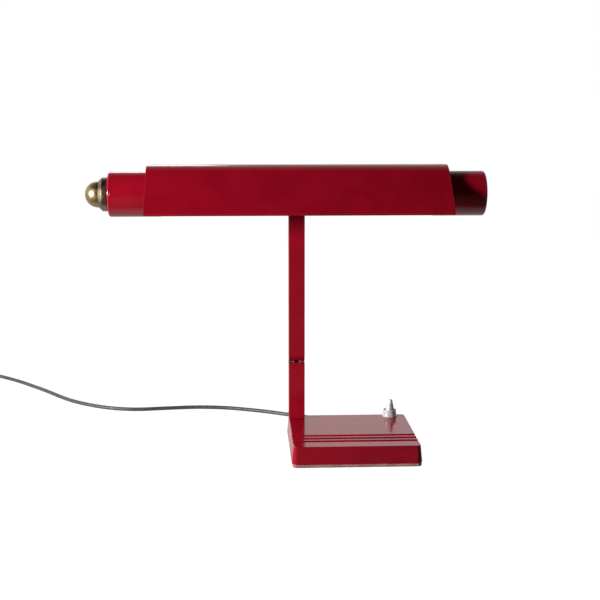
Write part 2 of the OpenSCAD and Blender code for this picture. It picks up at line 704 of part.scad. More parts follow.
// ---- lamp and holders ----

// Lamp holder facing +X with its cup's mouth at x = 0 and a foot up to the tube's roof
module holder() difference() {
    union() {
        rod_x(cup_r + cup_wall, -holder_len, 0, 0, 0);
        block([-holder_len, -foot_w / 2, 0], [-holder_len + 2 * holder_foot_x, foot_w / 2, head_ri + 2]);
    }
    difference() {
        rod_x(head_r * 2, -holder_len - 1, 1, 0, 0);
        rod_x(head_ri, -holder_len - 2, 2, 0, 0);
    }
    rod_x(cup_r, -cup_depth, 1, 0, 0);
    rod_x(pip_r + 1.5, -cup_depth - spring_len, 1, 0, 0);
    translate([-holder_len + holder_foot_x, 0, cup_r + cup_wall + 1]) cylinder(r = screw_r_small, h = head_r);
}

module left_holder() color([0.85, 0.82, 0.74]) translate([mouth_x0, stem_y, axis_z]) holder();
module right_holder() color([0.85, 0.82, 0.74]) translate([mouth_x1, stem_y, axis_z])
    mirror([1, 0, 0]) holder();

module holder_screws() color(steel)
    for (x = holder_screw_x) translate([x, stem_y, axis_z]) {
        shank_z = cup_r + cup_wall + 2;
        translate([0, 0, shank_z]) cylinder(r = screw_r_small - 0.02, h = head_r - shank_z);
        translate([0, 0, head_r]) cylinder(r = 2.8, h = 1.6);
    }

module contact_springs() color(brass) for (s = [-1, 1]) {
    seat_x = s < 0 ? mouth_x0 - cup_depth - spring_len : mouth_x1 + cup_depth + spring_len;
    for (i = [0 : 2]) translate([seat_x - s * (0.5 + i * 0.95), stem_y, axis_z]) rotate([0, 90, 0])
        ring_washer_centred(pip_r + 1, pip_r - 0.4, 0.96);
}

module ring_washer_centred(r, ri, h) translate([0, 0, -h / 2]) ring_washer(r, ri, h);

module lamp_glass() color([1, 1, 1, 0.5]) {
    glass_t = 1;
    difference() {
        head_rod(lamp_d / 2, lamp_x0 + 2, lamp_x1 - 2);
        head_rod(lamp_d / 2 - glass_t, lamp_x0 + 2 + glass_t, lamp_x1 - 2 - glass_t);
    }
}

module lamp_ferrules() color(brass) for (s = [0, 1]) translate([s == 0 ? lamp_x0 : lamp_x1, stem_y, axis_z])
    mirror([s, 0, 0]) rotate([0, 90, 0]) difference() {
        union() {
            translate([0, 0, 1]) cylinder(r = ferrule_r, h = ferrule_len - 1);
            translate([0, 0, -pip_len + 1]) cylinder(r = pip_r, h = pip_len + 1);
        }
        translate([0, 0, 2]) cylinder(r = lamp_d / 2, h = ferrule_len);
    }

module lamp_filament() color(steel) {
    wire_r = 0.6;
    post_r = 0.5;
    count = 5;
    pitch = (lamp_len - 40) / (count - 1);
    head_rod(wire_r, lamp_x0 + 3.05, lamp_x1 - 3.05);
    for (i = [0 : count - 1]) translate([lamp_x0 + 20 + i * pitch, stem_y, axis_z])
        cylinder(r = post_r, h = lamp_d / 2 - 1.05);
}

function around_tube(x, a) = [x, stem_y + lead_path_r * cos(a), axis_z + lead_path_r * sin(a)];
module head_leads() color(black) for (s = [-1, 1]) {
    far_x = s < 0 ? mouth_x0 - holder_len + 1 : mouth_x1 + holder_len - 1;
    near_x = stem_x + s * 3;
    sweep(concat(
        [for (a = [-58 : 13 : 20]) around_tube(near_x, a)],
        [for (i = [0 : 3]) around_tube(near_x + s * (2 + 8 * i), 30 + 8 * i)],
        [for (t = [0.4 : 0.15 : 1]) around_tube(near_x + (far_x - near_x) * t, 54)]),
        lead_r, 8, unit([0.35 * s, 0.2, 1]));
}

// ---- shade ----

// A point at distance along one flank from the bend and out from the head's axis, side -1 or 1
function flank_point(side, along, out) = [side * (along * cos(flank_slope) + out * sin(flank_slope)),
    out * cos(flank_slope) - along * sin(flank_slope)];

// The rolled rim of one flank, from the sheet's outer face round to its inner face
function rim_points(side) = let (centre = shade_bend_r - rim_r + rim_proud,
    start = 180 - asin((rim_r - rim_proud) / rim_r),
    end = -180 - asin((shade_bend_r - sheet_t - centre) / rim_r))
    [for (i = [0 : rim_steps]) let (a = start + (end - start) * i / rim_steps)
        flank_point(side, flank_len + rim_r * cos(a), centre + rim_r * sin(a))];

function bend_points(r, from, to) = [for (i = [0 : bend_steps])
    let (a = from + (to - from) * i / bend_steps) [r * sin(a), r * cos(a)]];
function reversed(pts) = [for (i = [len(pts) - 1 : -1 : 0]) pts[i]];

module shade_profile() polygon(concat(
    bend_points(shade_bend_r, -flank_slope, flank_slope), rim_points(1),
    bend_points(shade_bend_r - sheet_t, flank_slope, -flank_slope), reversed(rim_points(-1))));

module shade() color(red) difference() {
    translate([shade_x0, stem_y, axis_z]) rotate([90, 0, 90]) linear_extrude(shade_len) shade_profile();
    for (x = clip_x) translate([x + clip_w / 2, stem_y, axis_z]) {
        cylinder(r = rivet_r, h = shade_bend_r + 1);
        translate([0, 0, shade_bend_r - rivet_head_h])
            cylinder(r1 = rivet_r, r2 = rivet_head_r, h = rivet_head_h);
    }
}

module shade_clips() color(steel) for (x = clip_x) translate([x, stem_y, axis_z]) difference() {
    union() {
        rotate([90, 0, 90]) linear_extrude(clip_w) difference() {
            circle(r = clip_ri + clip_t);
            circle(r = clip_ri);
            polygon([[0, 0], [-100 * sin(clip_gap_half), -100 * cos(clip_gap_half)],
                [100 * sin(clip_gap_half), -100 * cos(clip_gap_half)]]);
        }
        intersection() {
            block([0, -7, clip_ri + 0.3], [clip_w, 7, shade_bend_r]);
            rod_x(shade_bend_r - sheet_t, 0, clip_w, 0, 0);
        }
    }
    translate([clip_w / 2, 0, clip_ri + clip_t + 1]) cylinder(r = rivet_r, h = 20);
}

module shade_rivets() color(red) for (x = clip_x) translate([x + clip_w / 2, stem_y, axis_z]) {
    shank_z = clip_ri + clip_t + 1.1;
    translate([0, 0, shank_z]) cylinder(r = rivet_r - 0.01, h = shade_bend_r - rivet_head_h - shank_z);
    translate([0, 0, shade_bend_r - rivet_head_h])
        cylinder(r1 = rivet_r - 0.01, r2 = rivet_head_r - 0.01, h = rivet_head_h);
}

// ---- cord and plug ----

module cord_tube() color(dark_grey) sweep(smooth(cord_route, 2), cord_r, 10, [0, 0, 1]);

module cord_coil() color(dark_grey) translate([coil_centre[0], coil_centre[1], coil_z]) rotate_extrude()
    translate([coil_ri, 0]) square([coil_ro - coil_ri, coil_h]);

module cord_end() color(dark_grey) sweep(smooth(end_route, 2), cord_r, 10, [0, 0, 1]);

module coil_tie() color(black)
    translate([coil_centre[0], coil_centre[1], coil_z]) rotate([0, 0, tie_angle])
        translate([coil_mid_r, 0, 0])
        difference() {
            half = coil_ro - coil_mid_r;
            block([-half - tie_t, -4, -tie_t], [half + tie_t, 4, coil_h + tie_t]);
            block([-half, -5, 0], [half, 5, coil_h]);
        }

module at_plug() translate(plug_at) rotate([0, 0, 180]) children();

module plug_body() color(black) at_plug() difference() {
    hull() {
        for (x = [-1, 1]) translate([x * (plug_w - plug_t) / 2, plug_l - 2, 0]) rotate([90, 0, 0])
            cylinder(r = plug_t / 2 - 0.2, h = 14, $fn = hull_fn);
        rotate([-90, 0, 0]) cylinder(r = 4.6, h = 3, $fn = hull_fn);
    }
    for (x = [-1, 1]) translate([x * plug_pin_pitch / 2, plug_l - 12, 0]) rotate([-90, 0, 0])
        cylinder(r = plug_pin_r, h = 20);
}

module plug_pins() color(steel) at_plug() for (x = [-1, 1])
    translate([x * plug_pin_pitch / 2, plug_l - 11.9, 0]) rotate([-90, 0, 0]) {
        cylinder(r = plug_pin_r, h = plug_pin_l + 9.9 - plug_pin_r);
        translate([0, 0, plug_pin_l + 9.9 - plug_pin_r]) sphere(r = plug_pin_r);
    }

base_casting();
base_plate();
base_plate_screws();
base_felt();
cord_relief();
cord_clamp();
cord_clamp_screws();
terminal_block();
terminal_screws();
base_leads();
switch_body();
switch_tags();
switch_nut();
switch_collar();
switch_lever();
lever_pin();
foot_slip_washer();
foot_washer();
foot_nut();
foot_stud();
foot_plug();
lower_tube();
lower_lead();
knee_tongue();
knee_fork();
knee_screw();
knee_friction_washers();
upper_tube();
upper_lead();
head_saddle();
head_nut();
head_tube();
left_cap();
right_cap();
knob_stud();
knob_ring();
knob_dome();
left_holder();
right_holder();
holder_screws();
contact_springs();
head_leads();
lamp_glass();
lamp_ferrules();
lamp_filament();
shade();
shade_clips();
shade_rivets();
cord_tube();
cord_coil();
cord_end();
coil_tie();
plug_body();
plug_pins();
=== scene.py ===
"""Red desk lamp with a jointed square stem and a folded shade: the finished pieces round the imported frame."""

import json
import logging
import math
from dataclasses import dataclass
from enum import Enum
from typing import Sequence

import bmesh
import bpy
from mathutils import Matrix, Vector, noise


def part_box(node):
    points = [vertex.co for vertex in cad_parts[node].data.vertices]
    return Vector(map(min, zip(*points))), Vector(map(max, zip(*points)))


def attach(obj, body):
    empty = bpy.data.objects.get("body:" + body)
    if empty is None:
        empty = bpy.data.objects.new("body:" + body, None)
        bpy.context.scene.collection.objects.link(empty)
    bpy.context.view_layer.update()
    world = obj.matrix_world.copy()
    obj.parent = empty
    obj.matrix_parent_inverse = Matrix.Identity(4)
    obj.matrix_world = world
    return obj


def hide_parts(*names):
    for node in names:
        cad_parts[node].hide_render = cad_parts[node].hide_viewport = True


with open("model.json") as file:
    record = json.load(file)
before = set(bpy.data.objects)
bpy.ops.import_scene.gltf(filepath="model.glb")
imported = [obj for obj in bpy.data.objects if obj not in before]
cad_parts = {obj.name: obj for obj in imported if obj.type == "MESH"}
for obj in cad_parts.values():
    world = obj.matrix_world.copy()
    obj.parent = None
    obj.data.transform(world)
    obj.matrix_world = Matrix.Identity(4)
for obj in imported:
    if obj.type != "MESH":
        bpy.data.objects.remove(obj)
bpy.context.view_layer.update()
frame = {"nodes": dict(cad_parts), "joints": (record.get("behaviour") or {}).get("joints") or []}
LOG = logging.getLogger("desk_lamp")
MM = 0.001
Pair = tuple[float, float]
Point = tuple[float, float, float]
Colour = tuple[float, float, float]


class Body(Enum):
    """The moving bodies of the lamp."""

    BASE = "base"
    LOWER_ARM = "lower_arm"
    UPPER_ARM = "upper_arm"
    SHADE = "shade"
    KNOB = "knob"
    LEVER = "lever"


# ---- finishes ----


class Coating:
    """A node tree under construction: short calls for the textures that the finishes share."""

    def __init__(self, name: str) -> None:
        """Starts a material called name with one Principled shader."""
        self.material = bpy.data.materials.new(name)
        self.material.use_nodes = True
        self.tree = self.material.node_tree
        self.shader = self.tree.nodes["Principled BSDF"]
        self.place = self.tree.nodes.new("ShaderNodeTexCoord").outputs["Object"]

    def node(self, kind: str, **values: object) -> bpy.types.Node:
        """A new node of that kind.

        Args:
            kind: Blender's name of the node, without ShaderNode.
            values: properties or unlinked inputs to set, an underscore standing for a space.

        Returns:
            The node.
        """
        made = self.tree.nodes.new("ShaderNode" + kind)
        for key, value in values.items():
            if hasattr(made, key):
                setattr(made, key, value)
            else:
                made.inputs[key.replace("_", " ")].default_value = value
        return made

    def link(self, source: bpy.types.NodeSocket, target: bpy.types.NodeSocket) -> None:
        """Joins two sockets."""
        self.tree.links.new(source, target)

    def set(self, **values: object) -> None:
        """Sets the shader's own inputs, an underscore standing for a space."""
        for key, value in values.items():
            self.shader.inputs[key.replace("_", " ")].default_value = value

    def stretched(self, stretch: Point) -> bpy.types.NodeSocket:
        """The place on the lamp with each axis multiplied by stretch."""
        mapping = self.node("Mapping")
        mapping.inputs["Scale"].default_value = stretch
        self.link(self.place, mapping.inputs["Vector"])
        return mapping.outputs["Vector"]

    def mottle(self, size_mm: float, detail: float = 3.0, stretch: Point = (1, 1, 1)) -> bpy.types.NodeSocket:
        """Cloudy noise from 0 to 1.

        Args:
            size_mm: the size of one cloud.
            detail: how many finer layers it has.
            stretch: how much each axis is squeezed.

        Returns:
            The noise's value.
        """
        cloud = self.node("TexNoise", Scale=1.0 / (size_mm * MM), Detail=detail)
        self.link(self.stretched(stretch), cloud.inputs["Vector"])
        return cloud.outputs["Fac"]

    def ramp(
        self, value: bpy.types.NodeSocket, low: float, high: float, start: float = 0.0, end: float = 1.0
    ) -> bpy.types.NodeSocket:
        """value mapped from low..high to start..end, and held there.

        Args:
            value: the socket to map.
            low: the value that gives start.
            high: the value that gives end.
            start: the result at low.
            end: the result at high.

        Returns:
            The mapped value.
        """
        mapped = self.node("MapRange", interpolation_type="SMOOTHSTEP")
        self.link(value, mapped.inputs["Value"])
        for key, number in (("From Min", low), ("From Max", high), ("To Min", start), ("To Max", end)):
            mapped.inputs[key].default_value = number
        return mapped.outputs["Result"]

    def blend(
        self, share: bpy.types.NodeSocket, under: Colour | bpy.types.NodeSocket, over: Colour
    ) -> bpy.types.NodeSocket:
        """Colour under, covered with colour over by share.

        Args:
            share: how much of over shows, 0 to 1.
            under: a colour or the socket that gives one.
            over: the covering colour.

        Returns:
            The mixed colour.
        """
        mix = self.node("Mix", data_type="RGBA")
        self.link(share, mix.inputs["Factor"])
        if isinstance(under, tuple):
            mix.inputs["A"].default_value = (*under, 1.0)
        else:
            self.link(under, mix.inputs["A"])
        mix.inputs["B"].default_value = (*over, 1.0)
        return mix.outputs["Result"]

    def worn_edges(self, low: float, high: float) -> bpy.types.NodeSocket:
        """1 along the outer edges and 0 elsewhere, broken up by noise."""
        shape = self.node("NewGeometry")
        edge = self.ramp(shape.outputs["Pointiness"], low, high)
        broken = self.node("Math", operation="MULTIPLY")
        self.link(edge, broken.inputs[0])
        self.link(self.ramp(self.mottle(4.0), 0.45, 0.62), broken.inputs[1])
        return broken.outputs["Value"]

    def bumps(self, *layers: tuple[bpy.types.NodeSocket, float]) -> None:
        """Height layers on the shader's normal, each a height and its depth in millimetres."""
        normal = None
        for height, depth_mm in layers:
            bump = self.node("Bump", Distance=depth_mm * MM, Strength=1.0)
            self.link(height, bump.inputs["Height"])
            if normal is not None:
                self.link(normal, bump.inputs["Normal"])
            normal = bump.outputs["Normal"]
        self.link(normal, self.shader.inputs["Normal"])

    def finish(self, colour: bpy.types.NodeSocket, roughness: bpy.types.NodeSocket) -> bpy.types.Material:
        """Joins colour and roughness to the shader and returns the material."""
        self.link(colour, self.shader.inputs["Base Color"])
        self.link(roughness, self.shader.inputs["Roughness"])
        return self.material


@dataclass(frozen=True)
class Lacquer:
    """Glossy red lacquer over metal."""

    name: str
    slot: str
    peel_mm: float = 0.004
    red: Colour = (0.320, 0.0036, 0.0150)
    deep: Colour = (0.275, 0.0029, 0.0120)
    primer: Colour = (0.085, 0.020, 0.014)

    def material(self) -> bpy.types.Material:
        """The lacquer: cloudy red, a wavy skin, hairline scratches and rubbed edges."""
        coat = Coating(self.name)
        colour = coat.blend(coat.ramp(coat.mottle(38.0, 4.0), 0.35, 0.7), self.red, self.deep)
        colour = coat.blend(coat.worn_edges(0.60, 0.72), colour, self.primer)
        hair = coat.mottle(0.5, 2.0, (0.06, 1.0, 1.0))
        rough = coat.ramp(coat.mottle(11.0, 5.0), 0.3, 0.75, 0.10, 0.20)
        coat.bumps((coat.mottle(2.6, 1.5), self.peel_mm), (hair, 0.0012))
        coat.set(IOR=1.5)
        return coat.finish(colour, rough)


@dataclass(frozen=True)
class Metal:
    """Bare or plated metal."""

    name: str
    slot: str
    bright: Colour
    dull: Colour
    rough: tuple[float, float] = (0.22, 0.38)
    turned: bool = False
    brush: Point = (1.0, 1.0, 0.05)

    def material(self) -> bpy.types.Material:
        """The metal: tarnish in clouds, and fine lines that a lathe or a belt left."""
        coat = Coating(self.name)
        colour = coat.blend(coat.ramp(coat.mottle(9.0, 6.0), 0.38, 0.68), self.bright, self.dull)
        rough = coat.ramp(coat.mottle(5.0, 5.0), 0.3, 0.7, *self.rough)
        lines = coat.mottle(0.35, 2.0, (6.0, 0.15, 0.15) if self.turned else self.brush)
        coat.bumps((lines, 0.004), (coat.mottle(3.0, 3.0), 0.006))
        coat.set(Metallic=1.0)
        return coat.finish(colour, rough)


@dataclass(frozen=True)
class Moulding:
    """Moulded plastic, rubber or fired clay."""

    name: str
    slot: str
    face: Colour
    shadow: Colour
    rough: tuple[float, float] = (0.35, 0.5)
    grain_mm: float = 0.8
    depth_mm: float = 0.01
    specular: float = 0.5

    def material(self) -> bpy.types.Material:
        """The moulding: a faint mottle, grain and handling marks."""
        coat = Coating(self.name)
        colour = coat.blend(coat.ramp(coat.mottle(7.0, 5.0), 0.35, 0.72), self.face, self.shadow)
        rough = coat.ramp(coat.mottle(4.0, 4.0), 0.3, 0.7, *self.rough)
        coat.bumps((coat.mottle(self.grain_mm, 3.0), self.depth_mm), (coat.mottle(12.0, 2.0), 0.01))
        coat.set(Specular_IOR_Level=self.specular)
        return coat.finish(colour, rough)


@dataclass(frozen=True)
class Felt:
    """Faded felt, matted and dusty."""

    name: str = "worn_felt"
    slot: str = "felt"
    wool: Colour = (0.37, 0.135, 0.108)
    shade: Colour = (0.30, 0.11, 0.085)
    dust: Colour = (0.50, 0.27, 0.23)

    def material(self) -> bpy.types.Material:
        """The felt: tangled fibres and dusty patches."""
        coat = Coating(self.name)
        fibre = coat.mottle(0.45, 6.0, (1.0, 1.0, 1.6))
        patches = coat.ramp(coat.mottle(14.0, 5.0), 0.42, 0.66, 0.0, 0.6)
        woven = coat.blend(coat.ramp(fibre, 0.3, 0.7), self.wool, self.shade)
        colour = coat.blend(patches, woven, self.dust)
        coat.bumps((fibre, 0.25), (coat.mottle(1.8, 4.0), 0.2))
        coat.set(Sheen_Weight=0.5, Sheen_Roughness=0.6, Specular_IOR_Level=0.2)
        return coat.finish(colour, coat.ramp(fibre, 0.2, 0.8, 0.85, 1.0))


@dataclass(frozen=True)
class FrostedGlass:
    """The strip lamp's frosted tube."""

    name: str = "frosted_glass"
    slot: str = "lamp_glass"
    milk: Colour = (0.93, 0.92, 0.88)
    warm: Colour = (0.86, 0.84, 0.78)

    def material(self) -> bpy.types.Material:
        """The glass: frosted inside, so the filament shows as a soft line."""
        coat = Coating(self.name)
        colour = coat.blend(coat.ramp(coat.mottle(20.0, 3.0), 0.3, 0.8), self.milk, self.warm)
        coat.bumps((coat.mottle(0.3, 2.0), 0.003), (coat.mottle(9.0, 2.0), 0.004))
        coat.set(Transmission_Weight=0.55, IOR=1.5)
        return coat.finish(colour, coat.ramp(coat.mottle(3.0, 4.0), 0.3, 0.7, 0.34, 0.46))


BRASS_BRIGHT = (0.40, 0.31, 0.16)


class Stock:
    """Every finish on the lamp, each made into a material once."""

    cast_red = Lacquer("cast_red_lacquer", "red_cast", peel_mm=0.009)
    sheet_red = Lacquer("sheet_red_enamel", "red_paint")
    zinc = Metal("zinc_steel", "zinc_steel", (0.50, 0.51, 0.53), (0.33, 0.34, 0.36))
    spring = Metal("blued_spring", "spring_steel", (0.30, 0.30, 0.32), (0.14, 0.13, 0.13))
    brass = Metal("polished_brass", "brass", BRASS_BRIGHT, (0.33, 0.24, 0.12), (0.28, 0.42), turned=True)
    olive_brass = Metal(
        "aged_brass", "aged_brass", (0.30, 0.235, 0.165), (0.17, 0.13, 0.09), (0.32, 0.46), turned=True,
    )
    ferrule = Metal("lamp_ferrule", "aluminium", (0.74, 0.75, 0.77), (0.50, 0.50, 0.50), turned=True)
    tungsten = Metal("tungsten", "tungsten", (0.28, 0.28, 0.29), (0.16, 0.16, 0.16))
    nickel = Metal(
        "nickel_pins", "nickel", (0.66, 0.64, 0.60), (0.42, 0.40, 0.37), (0.14, 0.26), brush=(1.0, 0.06, 1.0),
    )
    clay = Moulding("steatite", "ceramic", (0.74, 0.71, 0.63), (0.58, 0.54, 0.46), (0.55, 0.7), 0.6, 0.02)
    phenolic = Moulding(
        "dark_phenolic", "bakelite", (0.045, 0.036, 0.03), (0.022, 0.018, 0.016), (0.28, 0.45),
    )
    white = Moulding(
        "white_urea", "white_plastic", (0.52, 0.51, 0.54), (0.42, 0.40, 0.40), (0.16, 0.28), 1.2, 0.006,
    )
    lead = Moulding("lead_sheath", "lead_sheath", (0.03, 0.03, 0.03), (0.015, 0.015, 0.015), (0.5, 0.65))
    sheath = Moulding(
        "cord_sheath", "cord", (0.062, 0.058, 0.058), (0.036, 0.034, 0.034), (0.42, 0.58), 0.5, 0.02,
    )
    rubber = Moulding(
        "black_rubber", "black_rubber", (0.022, 0.021, 0.021), (0.012, 0.012, 0.012), (0.55, 0.75), 0.5, 0.02,
    )
    plug = Moulding(
        "plug_rubber", "plug_rubber", (0.034, 0.033, 0.033), (0.02, 0.02, 0.02), (0.45, 0.6), 0.5, 0.015,
    )
    felt = Felt()
    glass = FrostedGlass()
    _made: dict[str, bpy.types.Material] = {}

    @classmethod
    def of(cls, finish: object) -> bpy.types.Material:
        """The material of a finish, made the first time that it is asked for."""
        if finish.name not in cls._made:
            cls._made[finish.name] = finish.material()
        return cls._made[finish.name]


# ---- making meshes ----


def piece(mesh: bpy.types.Mesh, name: str, finish: object, body: Body, *stands_for: str) -> bpy.types.Object:
    """Puts a mesh on the lamp as a piece of its own.

    Args:
        mesh: the finished mesh, in the lamp's frame.
        name: the piece's name.
        finish: one of the Stock's finishes.
        body: what it moves with.
        stands_for: the frame's nodes that it replaces.

    Returns:
        The new object.
    """
    made = bpy.data.objects.new(name, mesh)
    bpy.context.scene.collection.objects.link(made)
    mesh.materials.clear()
    mesh.materials.append(Stock.of(finish))
    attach(made, body.value)
    if stands_for:
        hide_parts(*stands_for)
    LOG.info("%s: %d faces, with %s", name, len(mesh.polygons), body.value)
    return made


def smooth(mesh: bpy.types.Mesh, sharp_deg: float = 35.0) -> bpy.types.Mesh:
    """Shades a mesh smooth but for its edges sharper than sharp_deg, and returns it."""
    mesh.shade_smooth()
    mesh.set_sharp_from_angle(angle=math.radians(sharp_deg))
    return mesh


def welded(node: str) -> bpy.types.Mesh:
    """A copy of a frame node's mesh with its corners joined and its flat faces whole."""
    shape = bmesh.new()
    shape.from_mesh(frame["nodes"][node].data)
    bmesh.ops.remove_doubles(shape, verts=shape.verts, dist=0.002 * MM)
    bmesh.ops.dissolve_limit(shape, angle_limit=math.radians(0.6), verts=shape.verts, edges=shape.edges)
    mesh = bpy.data.meshes.new(node)
    shape.to_mesh(mesh)
    shape.free()
    return mesh


def eased(node: str, width_mm: float, steps: int = 2, sharp_deg: float = 30.0) -> bpy.types.Mesh:
    """A frame node's mesh with its sharp edges rounded over.

    Args:
        node: the node's name.
        width_mm: how far the rounding reaches from each edge; 0 leaves them sharp.
        steps: how many faces round each edge.
        sharp_deg: the smallest angle that counts as an edge.

    Returns:
        A new mesh, its flat faces shaded flat and its rounds smooth.
    """
    mesh = welded(node)
    if width_mm <= 0:
        return smooth(mesh)
    bench = bpy.data.objects.new("bench", mesh)
    bpy.context.scene.collection.objects.link(bench)
    bevel = bench.modifiers.new("ease", "BEVEL")
    bevel.width = width_mm * MM
    bevel.segments = steps
    bevel.limit_method = "ANGLE"
    bevel.angle_limit = math.radians(sharp_deg)
    bevel.use_clamp_overlap = False
    bevel.miter_outer = "MITER_ARC"
    weighted = bench.modifiers.new("flat", "WEIGHTED_NORMAL")
    weighted.keep_sharp = True
    weighted.weight = 90
    mesh.shade_smooth()
    graph = bpy.context.evaluated_depsgraph_get()
    made = bpy.data.meshes.new_from_object(
        bench.evaluated_get(graph), preserve_all_data_layers=True, depsgraph=graph
    )
    bpy.data.objects.remove(bench)
    made.name = node
    return made


def keep(names: Sequence[str], finish: object, body: Body, width_mm: float = 0.25) -> None:
    """Frame nodes as pieces, with eased edges and a finish.

    Args:
        names: the nodes.
        finish: what they are made of.
        body: what they move with.
        width_mm: how far their edges are eased.
    """
    for name in names:
        piece(eased(name, width_mm), name + "_finished", finish, body, name)


def turned(
    name: str, profile: Sequence[Pair], centre: Vector, axis: Vector, steps: int = 96
) -> bpy.types.Mesh:
    """A closed body turned on a lathe.

    Args:
        name: the mesh's name.
        profile: radius and distance along the axis, in metres, from one end of the outline to the other.
        centre: where distance 0 lies.
        axis: which way distance grows.
        steps: how many sides the round has.

    Returns:
        The mesh, smooth but for its corners.
    """
    shape = bmesh.new()
    turn = axis.to_track_quat("Z", "Y").to_matrix()
    rings = []
    for radius, along in profile:
        if radius < 1e-6:
            rings.append([shape.verts.new(centre + turn @ Vector((0, 0, along)))])
            continue
        angles = [math.tau * k / steps for k in range(steps)]
        places = [Vector((radius * math.cos(a), radius * math.sin(a), along)) for a in angles]
        rings.append([shape.verts.new(centre + turn @ place) for place in places])
    pairs = list(zip(rings, rings[1:]))
    if len(rings[0]) > 1 and len(rings[-1]) > 1:
        pairs.append((rings[-1], rings[0]))
    for lower, upper in pairs:
        for k in range(steps):
            n = k + 1
            corners = [
                lower[k % len(lower)], lower[n % len(lower)], upper[n % len(upper)], upper[k % len(upper)],
            ]  # fmt: skip
            unique = list(dict.fromkeys(corners))
            if len(unique) > 2:
                shape.faces.new(unique)
    bmesh.ops.recalc_face_normals(shape, faces=shape.faces)
    mesh = bpy.data.meshes.new(name)
    shape.to_mesh(mesh)
    shape.free()
    return smooth(mesh)


def arc(centre: Pair, radius: float, start_deg: float, end_deg: float, steps: int) -> list[Pair]:
    """Points along an arc in a profile.

    Args:
        centre: the arc's centre, radius first.
        radius: the arc's radius.
        start_deg: where it starts, 0 pointing outwards and 90 along the axis.
        end_deg: where it ends.
        steps: how many stretches it has.

    Returns:
        The points.
    """
    angles = [math.radians(start_deg + (end_deg - start_deg) * k / steps) for k in range(steps + 1)]
    return [(centre[0] + radius * math.cos(a), centre[1] + radius * math.sin(a)) for a in angles]


def lofted(name: str, rings: Sequence[Sequence[Vector]]) -> bpy.types.Mesh:
    """A closed skin over rings that have the same number of points.

    Args:
        name: the mesh's name.
        rings: the rings in order; the first and the last are filled in.

    Returns:
        The mesh, smooth but for its corners.
    """
    shape = bmesh.new()
    loops = [[shape.verts.new(p) for p in ring] for ring in rings]
    for lower, upper in zip(loops, loops[1:]):
        for k, vert in enumerate(lower):
            n = (k + 1) % len(lower)
            shape.faces.new([vert, lower[n], upper[n], upper[k]])
    shape.faces.new(reversed(loops[0]))
    shape.faces.new(loops[-1])
    bmesh.ops.recalc_face_normals(shape, faces=shape.faces)
    mesh = bpy.data.meshes.new(name)
    shape.to_mesh(mesh)
    shape.free()
    return smooth(mesh)


def curve_through(points: Sequence[Vector], steps: int) -> list[Vector]:
    """The smooth curve through points.

    Args:
        points: where it passes.
        steps: how many stretches lie between two of them.

    Returns:
        Points along the curve, the given ones among them.
    """
    last = len(points) - 1
    found = []
    for i in range(last):
        a, b = points[i], points[i + 1]
        p = points[i - 1] if i > 0 else 2 * a - b
        q = points[i + 2] if i < last - 1 else 2 * b - a
        for k in range(steps):
            t = k / steps
            squared, cubed = 2 * p - 5 * a + 4 * b - q, 3 * a - p - 3 * b + q
            found.append(0.5 * (2 * a + (b - p) * t + squared * t**2 + cubed * t**3))
    return [*found, points[last]]


def rounded_box(half_x: float, half_y: float, radius: float, per_corner: int) -> list[Pair]:
    """The outline of a rectangle with round corners, anticlockwise.

    Args:
        half_x: half its width.
        half_y: half its depth.
        radius: the corners' radius.
        per_corner: how many stretches each corner has.

    Returns:
        The outline's points.
    """
    corners = [(1, 1, 0), (-1, 1, 90), (-1, -1, 180), (1, -1, 270)]
    outline = []
    for sx, sy, start in corners:
        middle = (sx * (half_x - radius), sy * (half_y - radius))
        outline += arc(middle, radius, start, start + 90, per_corner)
    return outline


def ease_in_out(t: float) -> float:
    """0 before 0, 1 after 1, and a smooth step between."""
    t = min(max(t, 0.0), 1.0)
    return t * t * (3 - 2 * t)


# ---- studio ----


